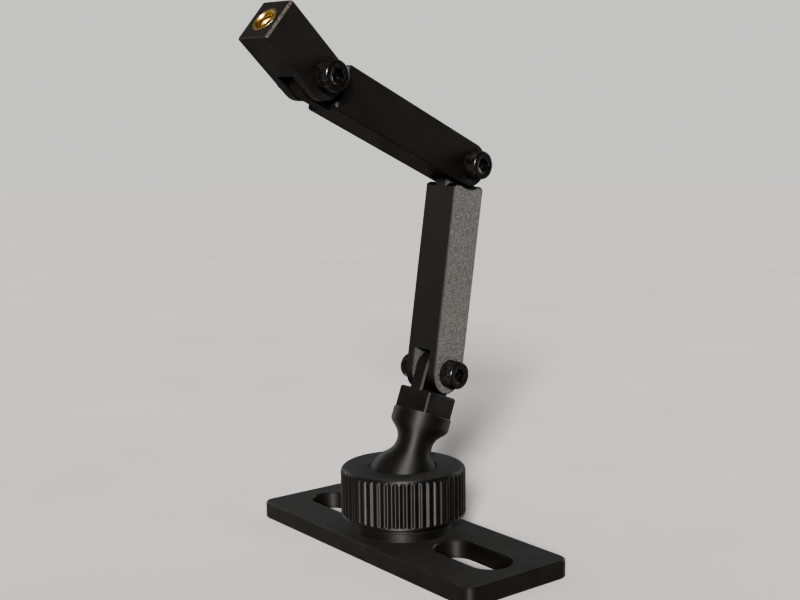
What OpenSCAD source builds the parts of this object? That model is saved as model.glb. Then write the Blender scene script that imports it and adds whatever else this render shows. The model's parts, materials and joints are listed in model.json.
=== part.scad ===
// Articulated ball-base arm: a slotted base plate carries a ball joint under a knurled lock ring.
// A stem, two identical links and a threaded head block are hinged on M5 friction pivots.
// Frame: millimetres, Z up, X along the plate, origin at the centre of the plate's underside.

/* [Base plate] */
// Length of the plate, along X
plate_l = 105; // [98:1:140]
// Width of the plate, along Y
plate_w = 38.5; // [38.5:0.5:60]
// Thickness of the plate
plate_t = 5.4; // [4.6:0.2:6]
// Radius of the plate's corners
plate_corner_r = 3.5; // [2:0.5:8]
// End to end length of each fixing slot
slot_l = 27.4; // [18:0.2:28]
// Width of each fixing slot
slot_w = 12.5; // [6:0.5:14]
// Distance between the middles of the two slots
slot_spacing = 64.2; // [64:0.2:66]

/* [Ball joint] */
// Diameter of the ball
ball_d = 23.6; // [23:0.2:23.8]
// Height of the ball's centre
ball_z = 19; // [18.6:0.1:19.2]
// Outer diameter of the threaded boss around the ball
boss_d = 29.7; // [29:0.1:29.8]
// Diameter over the lock ring's ribs
ring_d = 38.5; // [37:0.5:40]
// Height of the lock ring's lower edge
ring_bottom = 10.3; // [9.6:0.1:11]
// Height of the lock ring's top face
ring_top = 25.1; // [25.1:0.1:26]
// Number of grip ribs on the lock ring
rib_count = 52; // [30:1:60]
// Depth of the grooves between the ribs
rib_depth = 0.6; // [0.4:0.05:1]

/* [Ball stem] */
// From the ball's centre to the first pivot
stem_l = 36.5; // [36:0.5:45]
// Diameter of the neck
neck_d = 11.2; // [10:0.2:11.6]
// Diameter of the round collar above the neck
collar_d = 18.3; // [17:0.1:19]
// Side of the square block above the collar
stem_block = 12.8; // [12.4:0.1:13.2]

/* [Links] */
// Distance between a link's two pivots
link_l = 64.5; // [40:0.5:120]
// Thickness of a link along its pivot axis
link_w = 12; // [12:0.2:13]
// Depth of a link across its pivot axis
link_d = 13.2; // [13:0.1:13.4]
// Width of the gap between a fork's two ears
fork_gap = 6.2; // [6.2:0.1:6.4]
// Thickness of the tongue that fits in a fork
tang_t = 5; // [4.8:0.1:5]
// From the head block's pivot to its end face
head_l = 21.3; // [20:0.2:40]

/* [Fasteners] */
// Diameter of the pivot screws' shank
screw_d = 5; // [5:0.1:5.1]
// Length of a pivot screw under its head
screw_l = 16; // [16:1:18]
// Diameter of a screw's head
screw_head_d = 8.5; // [8:0.1:9]
// Size across the flats of a nut
nut_af = 8; // [8:0.1:8.4]
// Outer diameter of the brass thread insert
insert_d = 7.8; // [7:0.1:8]
// Diameter of the insert's threaded hole
insert_hole_d = 5.2; // [4:0.1:5.6]

/* [Rest pose] */
// Lean of the stem away from upright, towards +Y
lean_deg = 20.97; // [0:0.01:24]
// Sideways lean of the stem
roll_deg = 2.18; // [0:0.01:4]
// Turn of the stem about the vertical
yaw_deg = 7.49; // [0:0.01:60]
// Angle of the lower link to the stem
lower_deg = 13.27; // [-85:0.01:85]
// Angle of the upper link to the lower link
middle_deg = 75.46; // [-77:0.01:77]
// Angle of the head block to the upper link
head_deg = -18.7; // [-77:0.01:77]

/* [Hidden] */
$fn = 64;
black = "#1b1b1c";
black_steel = "#151516";
dark_nylon = "#2b2b2d";
brass = "#c9a14a";
cut = 1;                                  // how far a cutter runs past a face
play = 0.1;                               // free gap between moving faces
edge = 0.3;                               // small edge chamfer on printed parts
big_edge = 0.6;                           // chamfer on tongues and block tops
stem_edge = 0.45;                         // chamfer on the stem block's upright edges
plate_edge = 0.4;                         // softened edge of the plate
ball_r = ball_d / 2;
socket_r = ball_r + 0.2;                  // spherical socket in the boss
boss_top = ball_z - 0.5;                  // boss ends just below the ball's middle
boss_groove_z = [7.9, 8.75];              // start of the boss thread, showing under the ring
boss_groove_w = 0.45;
boss_groove_depth = 0.5;
pad_r = 6;                                // recess for the grip pad under the ball
pad_floor = 4.6;                          // bottom of that recess
thread_gap = 0.12;                        // radial gap at the boss thread
clamp_z0 = ball_z - 0.2;                  // pressure ring, lower face
clamp_z1 = ball_z + 3.5;                  // pressure ring, upper face
ring_mouth_r = sqrt(pow(ball_r, 2) - pow(ring_top - ball_z, 2)) + 0.3;
ring_throat_r = sqrt(pow(ball_r, 2) - pow(clamp_z1 - ball_z, 2)) + 0.35;
ring_chamfer = 1.5;                       // rounded top corner of the lock ring
ring_bevel = 0.6;                         // lower corner of the lock ring
rib_z0 = ring_bottom + 0.9;               // grooves start above the lower bevel
rib_z1 = ring_top - 0.6;                  // grooves end just under the top face
neck_r = neck_d / 2;
neck_fillet = 5;                          // hollow curve of the neck
neck_s = sqrt(pow(ball_r + neck_fillet, 2) - pow(neck_r + neck_fillet, 2));
neck_angle = atan2(neck_r + neck_fillet, neck_s);
cone_r = neck_r + neck_fillet * (1 - cos(45));
cone_s = neck_s + neck_fillet * sin(45);
collar_r = collar_d / 2;
collar_top = stem_l - 13.6;
collar_round = 2;                         // rounding where the cone meets the collar
stem_shoulder = stem_l - 6.9;             // flat shoulders beside the stem's tongue
link_r = link_d / 2;                      // round ends of the ears
fork_depth = link_r + 0.3;                // from the pivot to the bottom of a fork
shoulder_r = link_r + 0.6;                // hollow arc that the next link's ears turn in
horn_drop = 6.3;                          // horns beside the tongue end this far below the pivot
horn_edge = 1.1;                          // sloping outer corners of the horns
bore_r = screw_d / 2 + 0.08;              // pivot hole in a tongue
ear_bore_r = screw_d / 2 + 0.1;           // pivot hole in an ear
spot_r = 5.15;                            // spot face under a screw's head
spot_depth = 0.2;
screw_r = screw_d / 2;
head_r = screw_head_d / 2;
head_h = 5;
hex_af = 4;                               // hex socket in a screw's head
hex_depth = 2.5;
nut_hex_h = 3.7;
nut_h = 5.6;
nut_bore_r = screw_r + 0.02;
nut_pocket_r = 3.1;                       // groove that holds the nylon ring
washer_r = link_r - 1;
washer_t = (fork_gap - tang_t) / 2 - play;
insert_r = insert_d / 2;
insert_l = 9.5;

// ---- places ----

// Frame of the stem: Z along it from the ball's centre, X along the pivot axes
module on_stem() {
    translate([0, 0, ball_z]) rotate([-lean_deg, roll_deg, yaw_deg]) children();
}

// Frame of the lower link, at its lower pivot
module on_lower() {
    on_stem() translate([0, 0, stem_l]) rotate([lower_deg, 0, 0]) children();
}

// Frame of the upper link, at the middle pivot
module on_upper() {
    on_lower() translate([0, 0, link_l]) rotate([middle_deg, 0, 0]) children();
}

// Frame of the head block, at the last pivot
module on_head() {
    on_upper() translate([0, 0, link_l]) rotate([head_deg, 0, 0]) children();
}

// ---- shared shapes ----

module along_x() {
    rotate([0, 90, 0]) children();
}

// Rectangle with chamfered corners, centred on the origin
module chamfered_square(w, d, c) {
    x = w / 2;
    y = d / 2;
    polygon([[c - x, -y], [x - c, -y], [x, c - y], [x, y - c], [x - c, y], [c - x, y],
        [-x, y - c], [-x, c - y]]);
}

// Upright block: c chamfers its upright edges, cx and cy the top edges across X and Y
module chamfered_block(w, d, z0, z1, c, cx, cy) {
    intersection() {
        translate([0, 0, z0]) linear_extrude(z1 - z0) chamfered_square(w, d, c);
        rotate([90, 0, 0]) linear_extrude(d + 2 * cut, center = true)
            polygon([[-w, z0 - cut], [w, z0 - cut], [w, z1 - cx - w / 2],
                [w / 2 - cx, z1], [cx - w / 2, z1], [-w, z1 - cx - w / 2]]);
        rotate([90, 0, 90]) linear_extrude(w + 2 * cut, center = true)
            polygon([[-d, z0 - cut], [d, z0 - cut], [d, z1 - cy - d / 2],
                [d / 2 - cy, z1], [cy - d / 2, z1], [-d, z1 - cy - d / 2]]);
    }
}

// Disc about X with chamfered rims
module chamfered_disc(r, w, c) {
    x = w / 2;
    along_x() rotate_extrude()
        polygon([[0, -x], [r - c, -x], [r, c - x], [r, x - c], [r - c, x], [0, x]]);
}

// Tube about X from x0 to x1
module tube_x(r_out, r_in, x0, x1) {
    translate([x0, 0, 0]) along_x() difference() {
        cylinder(h = x1 - x0, r = r_out);
        translate([0, 0, -cut]) cylinder(h = x1 - x0 + 2 * cut, r = r_in);
    }
}

// Hole about X, as long as any part is wide
module hole_x(r) {
    along_x() cylinder(h = 4 * link_w, r = r, center = true);
}

// Tongue with a round end about the pivot, reaching down by drop
module tang(r, drop) {
    difference() {
        union() {
            chamfered_disc(r, tang_t, big_edge);
            translate([0, 0, -drop]) linear_extrude(drop)
                chamfered_square(tang_t, 2 * r, big_edge);
        }
        hole_x(bore_r);
    }
}

// What a fork loses: the gap between its ears, the pivot hole and the spot face
module fork_cut() {
    x = fork_gap / 2;
    y = link_d / 2;
    translate([0, 0, -link_r - cut]) linear_extrude(link_r + cut + fork_depth)
        polygon([[-x - edge - cut, -y - cut], [x + edge + cut, -y - cut], [x, edge - y],
            [x, y - edge], [x + edge + cut, y + cut], [-x - edge - cut, y + cut],
            [-x, y - edge], [-x, edge - y]]);
    hole_x(ear_bore_r);
    translate([link_w / 2 - spot_depth, 0, 0]) along_x() cylinder(h = cut, r = spot_r);
}

// Two ears with round ends and the solid body above them, up to height h
module fork_body(h, cx, cy) {
    chamfered_disc(link_r, link_w, edge);
    chamfered_block(link_w, link_d, 0, h, edge, cx, cy);
}

// Hollow arc beside a tongue, where the next link's ears turn
module shoulder_cut() {
    x0 = tang_t / 2;
    x1 = link_w / 2;
    for (side = [0, 1])
        mirror([side, 0, 0]) along_x() rotate_extrude()
            polygon([[0, x0], [shoulder_r, x0], [shoulder_r, x1 - big_edge],
                [shoulder_r + big_edge, x1], [shoulder_r + big_edge, x1 + cut], [0, x1 + cut]]);
}

// A whole link: fork at the bottom, tongue at the top
module link() {
    difference() {
        fork_body(link_l - horn_drop, big_edge, horn_edge);
        fork_cut();
        translate([0, 0, link_l]) shoulder_cut();
    }
    translate([0, 0, link_l]) tang(link_r, shoulder_r + cut);
}

// Socket head cap screw along X: its head's seat is at x = seat, its shank points to -X
module pivot_screw() {
    seat = link_w / 2 - spot_depth;
    rim = 0.5;
    translate([seat, 0, 0]) along_x() difference() {
        rotate_extrude()
            polygon([[0, -screw_l], [screw_r - rim, -screw_l], [screw_r, rim - screw_l],
                [screw_r, 0], [head_r, 0], [head_r, head_h - rim], [head_r - rim, head_h],
                [0, head_h]]);
        translate([0, 0, head_h - hex_depth])
            cylinder(h = hex_depth + cut, d = hex_af / cos(30), $fn = 6);
    }
}

// Lock nut on the far side of the fork: hexagon with a round collar
module pivot_nut() {
    corner_r = nut_af / 2 / cos(30);
    bevel = 0.45;
    collar = nut_af / 2 - 0.2;
    translate([-link_w / 2, 0, 0]) rotate([0, -90, 0]) difference() {
        union() {
            intersection() {
                cylinder(h = nut_hex_h, r = corner_r, $fn = 6);
                rotate_extrude()
                    polygon([[0, 0], [corner_r - bevel, 0], [corner_r, bevel],
                        [corner_r, nut_hex_h - bevel], [collar, nut_hex_h], [0, nut_hex_h]]);
            }
            rotate_extrude()
                polygon([[0, nut_hex_h - cut], [collar, nut_hex_h - cut],
                    [collar, nut_h - 0.7], [collar - 0.5, nut_h], [0, nut_h]]);
        }
        translate([0, 0, -cut]) cylinder(h = nut_h + 2 * cut, r = nut_bore_r);
        translate([0, 0, nut_hex_h - 0.3]) cylinder(h = nut_h, r = nut_pocket_r);
    }
}

// Nylon ring pressed into the nut's collar
module nut_ring() {
    x1 = -link_w / 2 - nut_hex_h + 0.3;
    tube_x(nut_pocket_r, nut_bore_r, x1 - 1.3, x1);
}

// Friction washer between a tongue and an ear; side is -1 or 1
module washer(side) {
    x = tang_t / 2;
    if (side > 0) tube_x(washer_r, ear_bore_r, x, x + washer_t);
    else tube_x(washer_r, ear_bore_r, -x - washer_t, -x);
}

// ---- base and ball joint ----

// Plate with round corners and softened edges
module plate_solid() {
    x = plate_l / 2;
    y = plate_w / 2;
    r = plate_corner_r;
    c = plate_edge;
    module side(half) {
        polygon([[c - half, 0], [half - c, 0], [half, c], [half, plate_t - c],
            [half - c, plate_t], [c - half, plate_t], [-half, plate_t - c], [-half, c]]);
    }
    rotate([90, 0, 0]) linear_extrude(2 * (y - r), center = true) side(x);
    rotate([90, 0, 90]) linear_extrude(2 * (x - r), center = true) side(y);
    for (sx = [-1, 1], sy = [-1, 1])
        translate([sx * (x - r), sy * (y - r), 0]) rotate_extrude()
            polygon([[0, 0], [r - c, 0], [r, c], [r, plate_t - c], [r - c, plate_t], [0, plate_t]]);
}

// Slot cutter along X, flared at the plate's top
module slot_cut() {
    r = slot_w / 2;
    half = slot_l / 2 - r;
    z = plate_t - plate_edge;
    flare = plate_edge + cut;
    for (sx = [-1, 1])
        translate([sx * half, 0, 0]) {
            translate([0, 0, -cut]) cylinder(h = plate_t + 2 * cut, r = r);
            translate([0, 0, z]) cylinder(h = flare, r1 = r, r2 = r + flare);
        }
    translate([-half, -r, -cut]) cube([2 * half, 2 * r, plate_t + 2 * cut]);
    rotate([90, 0, 90]) linear_extrude(2 * half, center = true)
        polygon([[-r, z], [r, z], [r + flare, z + flare], [-r - flare, z + flare]]);
}

// Round boss that the lock ring screws onto, with two grooves for its thread
module boss() {
    r = boss_d / 2;
    z = plate_t - cut;
    rotate_extrude() difference() {
        translate([0, z]) square([r, boss_top - z]);
        for (groove_z = boss_groove_z)
            translate([r - boss_groove_depth, groove_z]) square([cut, boss_groove_w]);
    }
}

module base_plate() {
    color(black) difference() {
        union() {
            plate_solid();
            boss();
        }
        for (sx = [-1, 1]) translate([sx * slot_spacing / 2, 0, 0]) slot_cut();
        translate([0, 0, ball_z]) sphere(r = socket_r);
        translate([0, 0, pad_floor]) cylinder(h = ball_z - pad_floor - ball_r / 2, r = pad_r);
    }
}

// Grip pad in the bottom of the socket, hollowed to the ball
module seat_pad() {
    color(dark_nylon) difference() {
        translate([0, 0, pad_floor + play]) cylinder(h = 3.6, r = pad_r - play);
        translate([0, 0, ball_z]) sphere(r = ball_r + play);
    }
}

// Ring that presses the ball down without turning with the lock ring
module pressure_ring() {
    color(black) difference() {
        translate([0, 0, clamp_z0])
            cylinder(h = clamp_z1 - clamp_z0 - play, r = boss_d / 2 - 0.2);
        translate([0, 0, ball_z]) sphere(r = ball_r + 0.15);
    }
}

module lock_ring() {
    r = ring_d / 2;
    c = ring_chamfer;
    h = ring_top - ring_bottom;
    groove_w = 0.52 * PI * ring_d / rib_count;
    corner = [for (a = [0 : 22.5 : 90]) [r - c + c * cos(a), h - c + c * sin(a)]];
    color(black) difference() {
        translate([0, 0, ring_bottom]) rotate_extrude()
            polygon(concat([[0, 0], [r - ring_bevel, 0], [r, ring_bevel]], corner, [[0, h]]));
        for (i = [0 : rib_count - 1])
            rotate([0, 0, i * 360 / rib_count]) translate([r - rib_depth, -groove_w / 2, rib_z0])
                cube([rib_depth + cut, groove_w, rib_z1 - rib_z0]);
        translate([0, 0, ring_bottom - cut])
            cylinder(h = clamp_z1 - ring_bottom + cut, r = boss_d / 2 + thread_gap);
        translate([0, 0, clamp_z1 - play]) cylinder(h = 2 * play, r = ring_throat_r);
        translate([0, 0, clamp_z1])
            cylinder(h = ring_top - clamp_z1, r1 = ring_throat_r, r2 = ring_mouth_r);
        translate([0, 0, ring_top - play / 2]) cylinder(h = cut, r = ring_mouth_r);
    }
}

// Ball, hollow neck, round collar, square block and tongue in one piece
module ball_stem() {
    round_z = cone_s + collar_r - cone_r + collar_round * tan(22.5);
    round_corner = [for (a = [-45 : 9 : 0])
        [collar_r - collar_round + collar_round * cos(a), round_z + collar_round * sin(a)]];
    color(black) on_stem() {
        sphere(r = ball_r);
        rotate_extrude() difference() {
            polygon([[0, ball_r * cos(neck_angle)],
                [ball_r * sin(neck_angle), ball_r * cos(neck_angle)],
                [cone_r, cone_s], [0, cone_s]]);
            translate([neck_r + neck_fillet, neck_s]) circle(r = neck_fillet);
        }
        rotate_extrude()
            polygon(concat([[0, cone_s], [cone_r, cone_s]], round_corner,
                [[collar_r, collar_top - 0.3], [collar_r - 0.3, collar_top], [0, collar_top]]));
        chamfered_block(stem_block, stem_block, collar_top - cut, stem_shoulder, stem_edge, big_edge,
            big_edge);
        translate([0, 0, stem_l]) tang(stem_block / 2, stem_l - stem_shoulder + cut);
    }
}

// ---- links and head ----

module lower_washer_left() { color(dark_nylon) on_stem() translate([0, 0, stem_l]) washer(-1); }
module lower_washer_right() { color(dark_nylon) on_stem() translate([0, 0, stem_l]) washer(1); }
module lower_arm() { color(black) on_lower() link(); }
module lower_screw() { color(black_steel) on_lower() pivot_screw(); }
module lower_nut() { color(black_steel) on_lower() pivot_nut(); }
module lower_nut_ring() { color(dark_nylon) on_lower() nut_ring(); }
module middle_washer_left() { color(dark_nylon) on_lower() translate([0, 0, link_l]) washer(-1); }
module middle_washer_right() { color(dark_nylon) on_lower() translate([0, 0, link_l]) washer(1); }
module upper_arm() { color(black) on_upper() link(); }
module middle_screw() { color(black_steel) on_upper() pivot_screw(); }
module middle_nut() { color(black_steel) on_upper() pivot_nut(); }
module middle_nut_ring() { color(dark_nylon) on_upper() nut_ring(); }
module head_washer_left() { color(dark_nylon) on_upper() translate([0, 0, link_l]) washer(-1); }
module head_washer_right() { color(dark_nylon) on_upper() translate([0, 0, link_l]) washer(1); }

// Short block with a fork below and a pocket for the insert in its end face
module head_block() {
    color(black) on_head() difference() {
        fork_body(head_l, big_edge, edge);
        fork_cut();
        translate([0, 0, head_l - insert_l - 0.5]) cylinder(h = insert_l + cut, r = insert_r);
    }
}

module head_screw() { color(black_steel) on_head() pivot_screw(); }
module head_nut() { color(black_steel) on_head() pivot_nut(); }
module head_nut_ring() { color(dark_nylon) on_head() nut_ring(); }

// Brass insert with a tapped hole and a bevelled mouth
module thread_insert() {
    hole_r = insert_hole_d / 2;
    mouth = 0.6;
    color(brass) on_head() translate([0, 0, head_l - insert_l]) rotate_extrude()
        polygon([[hole_r, 0], [insert_r, 0], [insert_r, insert_l - 0.1],
            [insert_r - 0.1, insert_l], [hole_r + mouth, insert_l], [hole_r, insert_l - mouth]]);
}

base_plate();
seat_pad();
pressure_ring();
lock_ring();
ball_stem();
lower_washer_left();
lower_washer_right();
lower_arm();
lower_screw();
lower_nut();
lower_nut_ring();
middle_washer_left();
middle_washer_right();
upper_arm();
middle_screw();
middle_nut();
middle_nut_ring();
head_washer_left();
head_washer_right();
head_block();
head_screw();
head_nut();
head_nut_ring();
thread_insert();
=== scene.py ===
"""Looks of a small articulated mounting arm: printed black plastic, black steel screws, brass insert."""
import json
import math

import bmesh
import bpy
from mathutils import Matrix, Vector


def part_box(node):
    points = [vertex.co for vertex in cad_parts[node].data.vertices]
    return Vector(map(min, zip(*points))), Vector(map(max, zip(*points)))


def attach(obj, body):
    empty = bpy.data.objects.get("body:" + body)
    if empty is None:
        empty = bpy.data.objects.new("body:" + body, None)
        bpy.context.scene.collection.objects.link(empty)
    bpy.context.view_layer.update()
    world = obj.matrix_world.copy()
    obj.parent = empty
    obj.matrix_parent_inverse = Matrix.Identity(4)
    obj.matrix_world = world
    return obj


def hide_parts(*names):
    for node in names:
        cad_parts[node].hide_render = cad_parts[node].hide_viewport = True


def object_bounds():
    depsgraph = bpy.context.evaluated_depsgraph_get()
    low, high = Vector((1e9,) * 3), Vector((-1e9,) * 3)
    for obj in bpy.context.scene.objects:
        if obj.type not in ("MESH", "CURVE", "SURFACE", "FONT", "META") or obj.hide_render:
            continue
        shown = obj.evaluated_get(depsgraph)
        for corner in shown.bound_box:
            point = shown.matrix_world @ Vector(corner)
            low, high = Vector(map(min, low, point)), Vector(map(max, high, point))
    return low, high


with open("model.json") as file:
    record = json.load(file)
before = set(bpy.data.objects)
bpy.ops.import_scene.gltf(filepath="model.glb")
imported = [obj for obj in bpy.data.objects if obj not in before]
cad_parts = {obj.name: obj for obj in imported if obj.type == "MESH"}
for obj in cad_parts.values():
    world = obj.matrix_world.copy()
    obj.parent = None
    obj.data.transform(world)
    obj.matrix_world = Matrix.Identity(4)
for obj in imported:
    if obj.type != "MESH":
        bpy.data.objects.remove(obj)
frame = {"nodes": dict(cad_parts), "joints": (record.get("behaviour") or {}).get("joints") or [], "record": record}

cad_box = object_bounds()
MM = 0.001
JOINTS = {j["name"]: j for j in frame["joints"]}
MOUNTS = {m["name"]: m for m in frame["record"]["mounts"]}

# ---- camera ----

CAMERA_AT = (0.2747, -0.2131, 0.1210)
CAMERA_YAW, CAMERA_PITCH, CAMERA_ROLL = 52.25, -7.31, -0.69   # degrees
CAMERA_LENS = 52.13                                           # millimetres, for the sensor below
SENSOR_WIDTH = 36                                             # millimetres


def make_camera():
    data = bpy.data.cameras.new("camera")
    data.sensor_width = SENSOR_WIDTH
    data.lens = CAMERA_LENS
    data.clip_start = 0.01
    camera = bpy.data.objects.new("camera", data)
    bpy.context.scene.collection.objects.link(camera)
    camera.matrix_world = (Matrix.Translation(CAMERA_AT)
                           @ Matrix.Rotation(math.radians(CAMERA_YAW), 4, "Z")
                           @ Matrix.Rotation(math.radians(90 + CAMERA_PITCH), 4, "X")
                           @ Matrix.Rotation(math.radians(CAMERA_ROLL), 4, "Z"))
    bpy.context.scene.camera = camera


make_camera()

# ---- places worked out from the frame ----

PIVOT = Vector(JOINTS["middle_pivot"]["axis"]).normalized()    # shared by the three hinges
PIVOTS = {name: Vector(JOINTS[name + "_pivot"]["pos_m"]) for name in ("lower", "middle", "head")}
HEAD_AXIS = Vector(MOUNTS["head_thread"]["axis"]).normalized()
LINK_AXES = {"lower": (PIVOTS["middle"] - PIVOTS["lower"]).normalized(),
             "middle": (PIVOTS["head"] - PIVOTS["middle"]).normalized(),
             "head": HEAD_AXIS}
BALL_AT = Vector(JOINTS["ball_tilt"]["pos_m"])
STEM_AXIS = (PIVOTS["lower"] - BALL_AT).normalized()
UP = Vector((0, 0, 1))


def frame_at(place, x_axis, z_axis):
    """Matrix of a frame at a place, with X along x_axis and Z as near to z_axis as it can be."""
    x = x_axis.normalized()
    y = z_axis.cross(x).normalized()
    z = x.cross(y)
    turn = Matrix((x, y, z)).transposed().to_4x4()
    return Matrix.Translation(place) @ turn


def local_points(node, place):
    """The vertices of a CAD node in the frame whose matrix is place."""
    inverse = place.inverted()
    return [inverse @ v.co for v in frame["nodes"][node].data.vertices]


# ---- mesh building ----

MERGE_WITHIN = 1e-4 * MM
SHARP_ABOVE = 32                                               # degrees


def add_piece(name, vertices, faces, body, replaced, material, place):
    """A smooth-shaded piece, built in the frame of place, that rides on a body and stands for a CAD node."""
    mesh = bpy.data.meshes.new(name)
    mesh.from_pydata([tuple(v) for v in vertices], [], faces)
    mesh.transform(place)
    bm = bmesh.new()
    bm.from_mesh(mesh)
    bmesh.ops.remove_doubles(bm, verts=bm.verts, dist=MERGE_WITHIN)
    bmesh.ops.recalc_face_normals(bm, faces=bm.faces)
    bm.to_mesh(mesh)
    bm.free()
    mesh.shade_smooth()
    piece = bpy.data.objects.new(name, mesh)
    bpy.context.scene.collection.objects.link(piece)
    mesh.materials.append(material)
    smooth_by_angle(piece, SHARP_ABOVE)
    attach(piece, body)
    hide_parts(replaced)


def smooth_by_angle(piece, degrees):
    """Marks as sharp the edges that bend more than this."""
    bm = bmesh.new()
    bm.from_mesh(piece.data)
    limit = math.radians(degrees)
    for edge in bm.edges:
        edge.smooth = not (edge.is_manifold and edge.calc_face_angle(0) > limit)
    bm.to_mesh(piece.data)
    bm.free()


def lathe(rings, segments, closed):
    """Vertices and faces of a surface turned about X.

    Each ring is (x, radius), and radius may be a function of the angle. A ring of radius 0 is a single tip.
    A closed lathe joins its last ring to its first."""
    vertices, faces, rows = [], [], []
    for x, radius in rings:
        if radius == 0:
            rows.append([len(vertices)])
            vertices.append((x, 0, 0))
            continue
        row = []
        for i in range(segments):
            angle = 2 * math.pi * i / segments
            r = radius(angle) if callable(radius) else radius
            row.append(len(vertices))
            vertices.append((x, r * math.cos(angle), r * math.sin(angle)))
        rows.append(row)
    pairs = list(zip(rows, rows[1:])) + ([(rows[-1], rows[0])] if closed else [])
    for a, b in pairs:
        for i in range(segments):
            j = (i + 1) % segments
            if len(a) == 1:
                faces.append((a[0], b[i], b[j]))
            elif len(b) == 1:
                faces.append((a[i], b[0], a[j]))
            else:
                faces.append((a[i], b[i], b[j], a[j]))
    return vertices, faces


def arc(x, r, radius, start, end, steps):
    """Ring places on an arc about (x, r), from one angle to another in degrees; 0 points to +X."""
    turn = [math.radians(start + (end - start) * i / steps) for i in range(steps + 1)]
    return [(x + radius * math.cos(a), r + radius * math.sin(a)) for a in turn]


# ---- materials ----

LAYER_PITCH = 0.2                                              # millimetres between printed layers
TANGENT_NUDGE = Vector((0.013, 0.017, 0.011))                  # keeps it from lining up with a normal


class Graph:
    """Short calls for building a material's node graph, whose places are in millimetres."""

    def __init__(self, name):
        self.material = bpy.data.materials.new(name)
        self.material.use_nodes = True
        self.tree = self.material.node_tree
        self.shader = self.tree.nodes["Principled BSDF"]
        self.coordinates = self.tree.nodes.new("ShaderNodeTexCoord")
        self.place = self.vector("SCALE", self.coordinates.outputs["Object"], scale=1 / MM)

    def link(self, value, socket):
        if isinstance(value, bpy.types.NodeSocket):
            self.tree.links.new(value, socket)
        else:
            socket.default_value = value

    def vector(self, operation, a, b=None, scale=None):
        node = self.tree.nodes.new("ShaderNodeVectorMath")
        node.operation = operation
        self.link(a, node.inputs[0])
        if b is not None:
            self.link(b, node.inputs[1])
        if scale is not None:
            node.inputs["Scale"].default_value = scale
        return node.outputs["Value" if operation in ("DOT_PRODUCT", "LENGTH") else "Vector"]

    def math(self, operation, a, b=0.0, c=0.0):
        node = self.tree.nodes.new("ShaderNodeMath")
        node.operation = operation
        for socket, value in zip(node.inputs, (a, b, c)):
            self.link(value, socket)
        return node.outputs[0]

    def noise(self, scale, detail=3.0, rough=0.55, stretch=None):
        """Noise whose scale is in features per millimetre."""
        node = self.tree.nodes.new("ShaderNodeTexNoise")
        place = self.vector("MULTIPLY", self.place, stretch) if stretch else self.place
        self.link(place, node.inputs["Vector"])
        node.inputs["Scale"].default_value = scale
        node.inputs["Detail"].default_value = detail
        node.inputs["Roughness"].default_value = rough
        return node.outputs[0]

    def cells(self, scale):
        """Distance to the nearest of a scatter of points, in cells; scale is cells per millimetre."""
        node = self.tree.nodes.new("ShaderNodeTexVoronoi")
        self.link(self.place, node.inputs["Vector"])
        node.inputs["Scale"].default_value = scale
        return node.outputs["Distance"]

    def remap(self, value, low, high, new_low=0.0, new_high=1.0):
        node = self.tree.nodes.new("ShaderNodeMapRange")
        node.interpolation_type = "SMOOTHSTEP"
        for socket, v in zip(node.inputs, (value, low, high, new_low, new_high)):
            self.link(v, socket)
        return node.outputs[0]

    def mix(self, factor, a, b):
        node = self.tree.nodes.new("ShaderNodeMix")
        node.data_type = "RGBA"
        self.link(factor, node.inputs["Factor"])
        self.link(a, node.inputs[6])
        self.link(b, node.inputs[7])
        return node.outputs[2]

    def facing(self, direction, low=0.86, high=0.97):
        """1 where the surface, at rest, faces a direction of the object's own frame."""
        dot = self.vector("DOT_PRODUCT", self.coordinates.outputs["Normal"], tuple(direction))
        return self.remap(dot, low, high)

    def edges(self, radius):
        """1 on edges and corners sharper than the given radius in millimetres."""
        bevel = self.tree.nodes.new("ShaderNodeBevel")
        bevel.samples = 6
        bevel.inputs["Radius"].default_value = radius * MM
        geometry = self.tree.nodes.new("ShaderNodeNewGeometry")
        dot = self.vector("DOT_PRODUCT", bevel.outputs[0], geometry.outputs["Normal"])
        return self.remap(dot, 0.995, 0.93)

    def bump(self, height, depth, normal=None):
        """Bumps whose height from 0 to 1 stands for a depth in millimetres."""
        node = self.tree.nodes.new("ShaderNodeBump")
        node.inputs["Strength"].default_value = 1.0
        node.inputs["Distance"].default_value = depth * MM
        self.link(height, node.inputs["Height"])
        if normal is not None:
            self.link(normal, node.inputs["Normal"])
        return node.outputs[0]

    def spread_gloss(self, direction, amount):
        """Stretches highlights along a direction of the object's own frame, as fine lines across it do."""
        turn = self.tree.nodes.new("ShaderNodeVectorTransform")
        turn.vector_type = "VECTOR"
        turn.convert_from = "OBJECT"
        turn.convert_to = "WORLD"
        turn.inputs[0].default_value = direction + TANGENT_NUDGE
        self.link(turn.outputs[0], self.shader.inputs["Tangent"])
        self.shader.inputs["Anisotropic"].default_value = amount

    def finish(self, colour, roughness, normal, metallic=0.0, specular=0.22):
        self.link(colour, self.shader.inputs["Base Color"])
        self.link(roughness, self.shader.inputs["Roughness"])
        self.link(normal, self.shader.inputs["Normal"])
        self.shader.inputs["Metallic"].default_value = metallic
        self.shader.inputs["Specular IOR Level"].default_value = specular
        return self.material


def grey(value, warm=0.0):
    """A grey colour, with its red raised and its blue lowered by the share warm."""
    return (value * (1 + warm), value, value * (1 - warm), 1)


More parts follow.
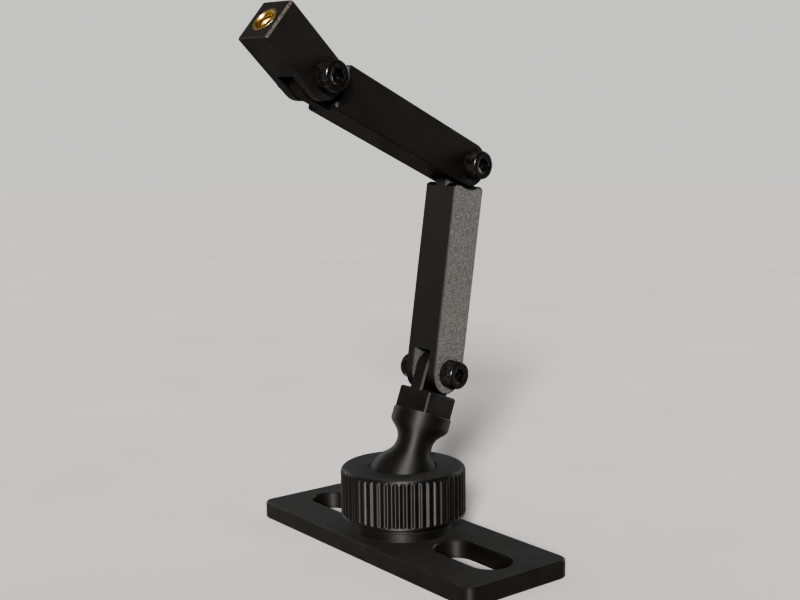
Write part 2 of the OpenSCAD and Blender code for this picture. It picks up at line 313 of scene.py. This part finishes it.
def layer_lines(g, stack, mottle):
    """Slightly wandering lines stacked along a direction, on the faces at the side of the stack."""
    along = g.vector("DOT_PRODUCT", g.place, tuple(stack))
    wander = g.math("MULTIPLY", mottle, 1.6)
    phase = g.math("MULTIPLY_ADD", along, 2 * math.pi / LAYER_PITCH, wander)
    lines = g.math("MULTIPLY_ADD", g.math("SINE", phase), 0.5, 0.5)
    end_on = g.math("ABSOLUTE", g.vector("DOT_PRODUCT", g.coordinates.outputs["Normal"], tuple(stack)))
    side_on = g.remap(g.math("SUBTRACT", 1.0, end_on), 0.05, 0.4)
    return g.math("MULTIPLY", lines, side_on)


def printed_plastic(name, stack, dark=0.003, light=0.006, warm=0.04, rough=(0.46, 0.56),
                    stretch=0.5, specular=0.22, grain_depth=0.012, painted_highlight_direction=None,
                    bed=None, bed_grain_and_sheen_colour=(0.034, 0.084), bed_depth=0.07):
    """Matt black printed plastic: layer lines along stack, fine grain, dust specks, and lighter edges that are
    part wear and part painted edge highlight.

    stretch is how far the layers spread a highlight. rubbed is the direction of a chamfer whose colour is
    lightened as a painted highlight.
    bed is the direction of the face that lay on the textured print bed: grainy, and lighter in colour with painted
    glints that stand in for its sheen."""
    g = Graph(name)
    mottle = g.noise(0.16, 4.0, 0.6)
    grain = g.noise(2.6, 3.0, 0.65)
    fine = g.noise(7.0, 2.0, 0.5)
    # Edges made lighter in colour: part wear, part a painted edge highlight.
    worn = g.math("MULTIPLY", g.edges(0.22), g.remap(grain, 0.35, 0.62, 0.25, 1.0))
    speck = g.math("MULTIPLY", g.remap(g.cells(0.5), 0.08, 0.03), g.remap(mottle, 0.52, 0.58))
    tone = g.math("MULTIPLY_ADD", grain, 0.5, g.math("MULTIPLY", mottle, 0.5))
    colour = g.mix(g.remap(tone, 0.38, 0.62), grey(dark, warm), grey(light, warm))
    colour = g.mix(g.math("MULTIPLY", worn, 0.5), colour, grey(0.03, warm))
    colour = g.mix(g.math("MULTIPLY", speck, 0.4), colour, grey(0.08, 0.1))
    roughness = g.remap(tone, 0.36, 0.64, rough[1], rough[0])
    # Painted highlight: a chamfer facing the given direction is lightened in colour.
    if painted_highlight_direction is not None:
        painted_chamfer_highlight = g.math("MULTIPLY", g.facing(painted_highlight_direction, 0.93, 0.98), g.remap(grain, 0.38, 0.58, 0.15, 1.0))
        colour = g.mix(painted_chamfer_highlight, colour, grey(0.05, warm))
    normal = g.bump(layer_lines(g, stack, mottle), 0.012)
    normal = g.bump(grain, grain_depth, normal)
    normal = g.bump(fine, 0.005, normal)
    g.spread_gloss(stack, stretch)
    # The bed face: real grain in its bump and roughness, and a lighter colour with painted glints standing in for
    # its sheen.
    if bed is not None:
        mask = g.facing(bed)
        pits = g.noise(2.3, 3.0, 0.65)
        painted_glint = g.remap(pits, 0.40, 0.64)
        bed_grain_and_sheen_tone = g.mix(painted_glint, grey(bed_grain_and_sheen_colour[0], warm * 0.5), grey(bed_grain_and_sheen_colour[1], warm * 0.5))
        colour = g.mix(mask, colour, bed_grain_and_sheen_tone)
        roughness = g.math("MULTIPLY_ADD", mask, 0.12, roughness)
        normal = g.bump(g.math("MULTIPLY", pits, mask), bed_depth, normal)
    return g.finish(colour, roughness, normal, specular=specular)


def black_steel(name):
    """Black oxide steel: satin, with fine scratches and bare metal just showing on the edges."""
    g = Graph(name)
    stain = g.noise(0.8, 4.0, 0.6)
    scratch = g.noise(3.0, 4.0, 0.7, stretch=(0.25, 1.0, 3.0))
    worn = g.math("MULTIPLY", g.edges(0.12), g.remap(stain, 0.35, 0.6, 0.3, 1.0))
    colour = g.mix(g.remap(stain, 0.35, 0.65), grey(0.018), grey(0.034, 0.05))
    colour = g.mix(g.math("MULTIPLY", worn, 0.75), colour, grey(0.34))
    roughness = g.remap(scratch, 0.3, 0.7, 0.21, 0.34)
    normal = g.bump(scratch, 0.006)
    return g.finish(colour, roughness, normal, metallic=0.85)


def brass(name):
    """Machined brass with turning marks and a little dark tarnish."""
    g = Graph(name)
    tarnish = g.noise(0.9, 4.0, 0.65)
    marks = g.noise(6.0, 2.0, 0.5)
    colour = g.mix(g.remap(tarnish, 0.42, 0.68), (0.42, 0.30, 0.12, 1), (0.17, 0.115, 0.045, 1))
    roughness = g.remap(tarnish, 0.35, 0.65, 0.30, 0.46)
    return g.finish(colour, roughness, g.bump(marks, 0.006), metallic=1.0)


def moulded(name, value, rough):
    """Dark moulded nylon or rubber, faintly mottled."""
    g = Graph(name)
    mottle = g.noise(0.7, 3.0, 0.6)
    fine = g.noise(5.0, 2.0, 0.5)
    colour = g.mix(g.remap(mottle, 0.35, 0.65), grey(value), grey(value * 1.7, 0.05))
    roughness = g.remap(mottle, 0.3, 0.7, rough - 0.06, rough + 0.08)
    return g.finish(colour, roughness, g.bump(fine, 0.006))


def floor_surface(name):
    """Pale matt studio floor with the faintest mottle."""
    g = Graph(name)
    mottle = g.noise(0.01, 4.0, 0.6)
    fine = g.noise(0.8, 3.0, 0.5)
    colour = g.mix(g.remap(mottle, 0.3, 0.7), grey(0.36, 0.02), grey(0.38, 0.02))
    roughness = g.remap(fine, 0.3, 0.7, 0.86, 0.94)
    return g.finish(colour, roughness, g.bump(fine, 0.01), specular=0.08)


# The side of the upper link that faces down at rest
UNDERSIDE = LINK_AXES["middle"].cross(PIVOT).normalized()
if UNDERSIDE.z > 0:
    UNDERSIDE = -UNDERSIDE

# Faces given as bed are lighter in colour with painted glints: part grain, part a painted sheen.
plate_plastic = printed_plastic("printed_plate", UP, bed=UP, bed_grain_and_sheen_colour=(0.012, 0.022), bed_depth=0.02)
ring_plastic = printed_plastic("printed_ring", UP, rough=(0.62, 0.70), stretch=0.93, specular=0.42,
                               grain_depth=0.025)
stem_plastic = printed_plastic("printed_stem", STEM_AXIS, rough=(0.64, 0.74), stretch=0.93,
                               specular=0.40, grain_depth=0.035)
lower_plastic = printed_plastic("printed_lower_arm", PIVOT, dark=0.0015, light=0.003, bed=PIVOT)
upper_plastic = printed_plastic("printed_upper_arm", PIVOT, dark=0.002, light=0.004, warm=0.08,
                                bed=UNDERSIDE, bed_grain_and_sheen_colour=(0.004, 0.010), bed_depth=0.03)
# The head's chamfer between its end face and its side gets a painted highlight.
head_plastic = printed_plastic("printed_head", PIVOT, dark=0.004, light=0.007, warm=0.10,
                               painted_highlight_direction=(PIVOT + HEAD_AXIS).normalized())
steel = black_steel("black_oxide_steel")
brass_metal = brass("machined_brass")
nut_nylon = moulded("nut_nylon", 0.02, 0.45)
washer_nylon = moulded("washer_nylon", 0.018, 0.5)
pad_rubber = moulded("grip_rubber", 0.012, 0.7)

NODE_MATERIALS = {
    "base_plate": plate_plastic, "pressure_ring": ring_plastic, "lock_ring": ring_plastic,
    "ball_stem": stem_plastic, "lower_arm": lower_plastic, "upper_arm": upper_plastic,
    "head_block": head_plastic, "seat_pad": pad_rubber, "thread_insert": brass_metal,
}
for joint in PIVOTS:
    NODE_MATERIALS[joint + "_screw"] = steel
    NODE_MATERIALS[joint + "_nut"] = steel
    NODE_MATERIALS[joint + "_nut_ring"] = nut_nylon
    for side in ("left", "right"):
        NODE_MATERIALS[joint + "_washer_" + side] = washer_nylon

# Width of the softened edges of each CAD node that keeps its own mesh, in millimetres
EDGE_ROUND = {"base_plate": 0.22, "ball_stem": 0.18, "lower_arm": 0.2, "upper_arm": 0.2,
              "head_block": 0.22, "lower_nut": 0.1, "middle_nut": 0.1, "head_nut": 0.1}
FLAT_BELOW = 1.5                                               # degrees
ROUND_ABOVE = 28                                               # degrees


def dress_node(name, material, edge_round):
    """Gives a CAD node its material and, by modifiers only, softly rounded edges."""
    node = frame["nodes"][name]
    node.data.materials.clear()
    node.data.materials.append(material)
    if not edge_round:
        return
    merge = node.modifiers.new("merge_flat_faces", "DECIMATE")
    merge.decimate_type = "DISSOLVE"
    merge.angle_limit = math.radians(FLAT_BELOW)
    bevel = node.modifiers.new("soft_edges", "BEVEL")
    bevel.width = edge_round * MM
    bevel.segments = 3
    bevel.limit_method = "ANGLE"
    bevel.angle_limit = math.radians(ROUND_ABOVE)
    bevel.harden_normals = True


for name, material in NODE_MATERIALS.items():
    dress_node(name, material, EDGE_ROUND.get(name))

# ---- lock ring ----

RIB_COUNT = 52
RIB_DEPTH = 0.5 * MM
RIB_STEPS = 14                                                 # points round each rib
RIB_BLEND = 0.12 * MM                                          # softens the ribs' ends at the corner
RIB_ROWS = 10
RIB_MARGIN = 0.5 * MM                                          # from the bottom bevel to the grooves
RUNOUT_ROWS = 5
RUNOUT_LENGTH = 0.45 * MM
RUNOUT_LIFT = 1.15                                             # lift of the groove floor, in rib depths
RING_ROUND = 1.5 * MM
RING_BEVEL = 0.6 * MM
MOUTH_BREAK = 0.25 * MM
BORE_BREAK = 0.3 * MM


def lock_ring():
    """Ring with rounded ribs that fade into its rounded top corner, a bore and a flared mouth."""
    low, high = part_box("lock_ring")
    outer = (high.x - low.x) / 2
    top, bottom = high.z, low.z
    cad = [v.co for v in frame["nodes"]["lock_ring"].data.vertices]
    bore = min(math.hypot(v.x, v.y) for v in cad if v.z < bottom + 0.1 * MM)
    mouth = min(math.hypot(v.x, v.y) for v in cad if v.z > top - 0.01 * MM)
    throat_z = max(v.z for v in cad if abs(math.hypot(v.x, v.y) - bore) < 0.05 * MM)
    throat = min(math.hypot(v.x, v.y) for v in cad if abs(v.z - throat_z) < 0.2 * MM)
    skin_top = top - RING_ROUND
    skin_bottom = bottom + RING_BEVEL

    def ribbed(radius):
        """Radius that dips into the grooves, wherever the plain radius stands above their floor."""
        def at(angle):
            groove = 0.5 - 0.5 * math.cos(RIB_COUNT * angle)
            floor = outer - RIB_DEPTH * groove
            blend = 0.5 + 0.5 * (radius - floor) / RIB_BLEND
            blend = min(max(blend, 0), 1)
            return radius + (floor - radius) * blend - RIB_BLEND * blend * (1 - blend) / 2
        return at

    rings = [(top, mouth + MOUTH_BREAK), (top, outer - RING_ROUND)]
    corner = arc(skin_top, outer - RING_ROUND, RING_ROUND, 0, 90, 14)
    rings += [(x, ribbed(r)) for x, r in corner]
    groove_end = skin_bottom + RIB_MARGIN
    for i in range(1, RIB_ROWS + 1):
        rings.append((skin_top + (groove_end - skin_top) * i / RIB_ROWS, ribbed(outer)))
    for i in range(1, RUNOUT_ROWS + 1):
        share = i / RUNOUT_ROWS
        lift = RIB_DEPTH * RUNOUT_LIFT * share
        rings.append((groove_end - RUNOUT_LENGTH * share,
                      lambda angle, lift=lift: min(outer, ribbed(outer)(angle) + lift)))
    rings += arc(skin_bottom, outer - RING_BEVEL, RING_BEVEL, 90, 180, 5)
    rings += [(bottom, bore + BORE_BREAK), (bottom + BORE_BREAK, bore), (throat_z, bore),
              (throat_z, throat), (top - MOUTH_BREAK, mouth)]
    vertices, faces = lathe(rings, RIB_COUNT * RIB_STEPS, closed=True)
    place = frame_at(Vector((0, 0, 0)), UP, Vector((1, 0, 0)))
    add_piece("knurled_lock_ring", vertices, faces, "ring", "lock_ring", ring_plastic, place)


# ---- screws ----

HEX_FLATS = 4.0 * MM
HEX_DEPTH = 2.5 * MM
HEX_TAPER = 0.98                                               # width at the socket's floor to its mouth
SOCKET_CONE = 1.3 * MM                                         # depth of the drilled tip in the socket
LIP_START = 0.16 * MM                                          # depth at which the socket opens out
LIP_END = 0.05 * MM
LIP_WIDTH = 0.12 * MM
HEAD_HEIGHT = 5.0 * MM
HEAD_RIM = 0.65 * MM
KNURL_TEETH = 48
KNURL_DEPTH = 0.19 * MM
KNURL_RUNOUT = 0.2 * MM
KNURL_MARGIN = 0.25 * MM                                       # from the head's seat to the knurl
KNURL_STEPS = 4                                                # points round each tooth
SEAT_BREAK = 0.3 * MM
THREAD_PITCH = 0.8 * MM
THREAD_DEPTH = 0.42 * MM
THREAD_LENGTH = 5.0 * MM
THREAD_ROWS = 8                                                # rings along each turn
THREAD_FADE = 6                                                # rings over which the thread starts
TIP_BEVEL = (0.5 * MM, 0.6 * MM)                               # along the screw and across it


def hexagon(flats):
    """Radius of a hexagon at an angle."""
    def at(angle):
        off = (angle % (math.pi / 3)) - math.pi / 6
        return flats / 2 / math.cos(off)
    return at


def thread_wave(x, angle, pitch):
    """Height of a screw thread from 0 at the root to 1 at the crest."""
    turn = (x / pitch - angle / (2 * math.pi)) % 1
    return min(1, max(0, 1.25 - 2.5 * abs(turn - 0.5)))


def pivot_screw(joint, body):
    """Socket head cap screw: knurled head, hexagon socket, plain shank and threaded end."""
    node = joint + "_screw"
    place = frame_at(PIVOTS[joint], PIVOT, LINK_AXES[joint])
    points = local_points(node, place)
    face, tip = max(p.x for p in points), min(p.x for p in points)
    head_r = max(math.hypot(p.y, p.z) for p in points)
    seat = face - HEAD_HEIGHT
    shank_r = max(math.hypot(p.y, p.z) for p in points if p.x < seat - 1 * MM)
    corner_r = HEX_FLATS / 2 / math.cos(math.pi / 6)

    def knurled(angle):
        return head_r - KNURL_DEPTH * (0.5 - 0.5 * math.cos(KNURL_TEETH * angle))

    def threaded(x, fade):
        return lambda angle: shank_r - THREAD_DEPTH * fade * (1 - thread_wave(x, angle, THREAD_PITCH))

    socket = [(face - HEX_DEPTH - SOCKET_CONE, 0), (face - HEX_DEPTH, hexagon(HEX_FLATS * HEX_TAPER)),
              (face - LIP_START, hexagon(HEX_FLATS)), (face - LIP_END, corner_r + 0.02 * MM),
              (face, corner_r + LIP_WIDTH), (face, head_r - HEAD_RIM)]
    rim = arc(face - HEAD_RIM, head_r - HEAD_RIM, HEAD_RIM, 10, 80, 7)
    knurl_top = face - HEAD_RIM - 0.05 * MM
    knurl_bottom = seat + KNURL_MARGIN
    knurl = [(knurl_top, head_r - KNURL_DEPTH * 0.5), (knurl_top - KNURL_RUNOUT, knurled),
             (knurl_bottom + KNURL_RUNOUT, knurled), (knurl_bottom, head_r - KNURL_DEPTH * 0.6)]
    thread_start = tip + THREAD_LENGTH
    thread_end = tip + TIP_BEVEL[0]
    shank = [(seat, head_r - SEAT_BREAK), (seat, shank_r), (thread_start, shank_r)]
    steps = round((thread_start - thread_end) / THREAD_PITCH * THREAD_ROWS)
    thread = []
    for i in range(1, steps + 1):
        x = thread_start + (thread_end - thread_start) * i / steps
        thread.append((x, threaded(x, min(1, i / THREAD_FADE))))
    end = [(tip, shank_r - TIP_BEVEL[1]), (tip, 0)]
    vertices, faces = lathe(socket + rim + knurl + shank + thread + end, KNURL_TEETH * KNURL_STEPS,
                            closed=False)
    add_piece(joint + "_cap_screw", vertices, faces, body, node, steel, place)


# ---- brass insert ----

INSERT_PITCH = 1.27 * MM
INSERT_THREAD = 0.5 * MM
INSERT_MOUTH = 0.5 * MM                                        # widening of the hole at its mouth
INSERT_MOUTH_DEPTH = 0.45 * MM
INSERT_BREAK = 0.3 * MM                                        # bevel at the back
INSERT_TAPER = 0.05 * MM
INSERT_EDGE = 0.12 * MM                                        # bevel at the front
INSERT_ROWS = 70
INSERT_FADE = 5                                                # rings over which the thread starts
INSERT_SEGMENTS = 96


def thread_insert():
    """Brass insert with a cut inner thread and a bevelled mouth."""
    top = Vector(MOUNTS["head_face"]["pos_m"])
    centre = Vector(MOUNTS["head_thread"]["pos_m"])
    end = centre + HEAD_AXIS * (top - centre).dot(HEAD_AXIS)
    place = frame_at(end, HEAD_AXIS, PIVOT)
    points = local_points("thread_insert", place)
    face, back = max(p.x for p in points), min(p.x for p in points)
    outer = max(math.hypot(p.y, p.z) for p in points)
    hole = min(math.hypot(p.y, p.z) for p in points)
    start, stop = face - INSERT_MOUTH_DEPTH, back + INSERT_BREAK

    def cut(x, fade):
        return lambda angle: hole + INSERT_THREAD * fade * (1 - thread_wave(x, angle, INSERT_PITCH))

    rings = [(face, hole + INSERT_MOUTH), (start, hole + 0.08 * MM)]
    for i in range(1, INSERT_ROWS + 1):
        x = start + (stop - start) * i / INSERT_ROWS
        rings.append((x, cut(x, min(1, i / INSERT_FADE))))
    rings += [(back, hole + 0.2 * MM), (back, outer - INSERT_BREAK),
              (back + INSERT_BREAK, outer - INSERT_TAPER), (face - INSERT_EDGE, outer),
              (face, outer - INSERT_EDGE)]
    vertices, faces = lathe(rings, INSERT_SEGMENTS, closed=True)
    add_piece("threaded_insert", vertices, faces, "head", "thread_insert", brass_metal, place)


lock_ring()
pivot_screw("lower", "lower_link")
pivot_screw("middle", "upper_link")
pivot_screw("head", "head")
thread_insert()

# ---- floor and light ----

FLOOR_RADIUS = 4                                               # metres
BEHIND_SPAN = (0.3, 0.95)                                      # cosines off straight behind: start, full


def make_floor():
    place = (0, 0, cad_box[0][2])
    bpy.ops.mesh.primitive_circle_add(vertices=96, radius=FLOOR_RADIUS, fill_type="NGON", location=place)
    floor = bpy.context.object
    floor.name = "floor"
    floor.data.materials.append(floor_surface("floor_surface"))


def soft_sun(name, azimuth, height, angle, strength, colour=(1, 1, 1)):
    """Even light from far off; azimuth from +X, height and angular width are in degrees."""
    data = bpy.data.lights.new(name, "SUN")
    data.angle = math.radians(angle)
    data.energy = strength
    data.color = colour
    light = bpy.data.objects.new(name, data)
    bpy.context.scene.collection.objects.link(light)
    light.rotation_euler = (math.radians(90 - height), 0, math.radians(azimuth + 90))


def make_world(light, behind, seen):
    """Dim soft light from all round, brighter behind the object, and a pale backdrop for the camera."""
    world = bpy.data.worlds.new("studio")
    bpy.context.scene.world = world
    world.use_nodes = True
    tree = world.node_tree
    ambient = tree.nodes["Background"]
    ambient.inputs["Color"].default_value = (0.93, 0.95, 1.0, 1)
    coordinates = tree.nodes.new("ShaderNodeTexCoord")
    dot = tree.nodes.new("ShaderNodeVectorMath")
    dot.operation = "DOT_PRODUCT"
    yaw = math.radians(CAMERA_YAW)
    dot.inputs[1].default_value = (-math.sin(yaw), math.cos(yaw), 0)
    ramp = tree.nodes.new("ShaderNodeMapRange")
    ramp.interpolation_type = "SMOOTHSTEP"
    for socket, value in zip(ramp.inputs[1:5], (*BEHIND_SPAN, light, behind)):
        socket.default_value = value
    tree.links.new(coordinates.outputs["Generated"], dot.inputs[0])
    tree.links.new(dot.outputs["Value"], ramp.inputs[0])
    tree.links.new(ramp.outputs[0], ambient.inputs["Strength"])
    backdrop = tree.nodes.new("ShaderNodeBackground")
    backdrop.inputs["Color"].default_value = (1.0, 0.99, 0.98, 1)
    backdrop.inputs["Strength"].default_value = seen
    path = tree.nodes.new("ShaderNodeLightPath")
    mix = tree.nodes.new("ShaderNodeMixShader")
    tree.links.new(path.outputs["Is Camera Ray"], mix.inputs[0])
    tree.links.new(ambient.outputs[0], mix.inputs[1])
    tree.links.new(backdrop.outputs[0], mix.inputs[2])
    tree.links.new(mix.outputs[0], tree.nodes["World Output"].inputs["Surface"])


make_floor()
make_world(0.04, 0.5, 0.60)
soft_sun("key", azimuth=-44, height=21, angle=12, strength=11.5, colour=(1.0, 0.97, 0.93))
soft_sun("left_fill", azimuth=-125, height=35, angle=50, strength=0.45)
soft_sun("right_back_fill", azimuth=88, height=12, angle=40, strength=1.3)
soft_sun("left_back_fill", azimuth=192, height=8, angle=40, strength=1.2)
bpy.context.scene.view_settings.view_transform = "AgX"
bpy.context.scene.view_settings.look = "AgX - High Contrast"
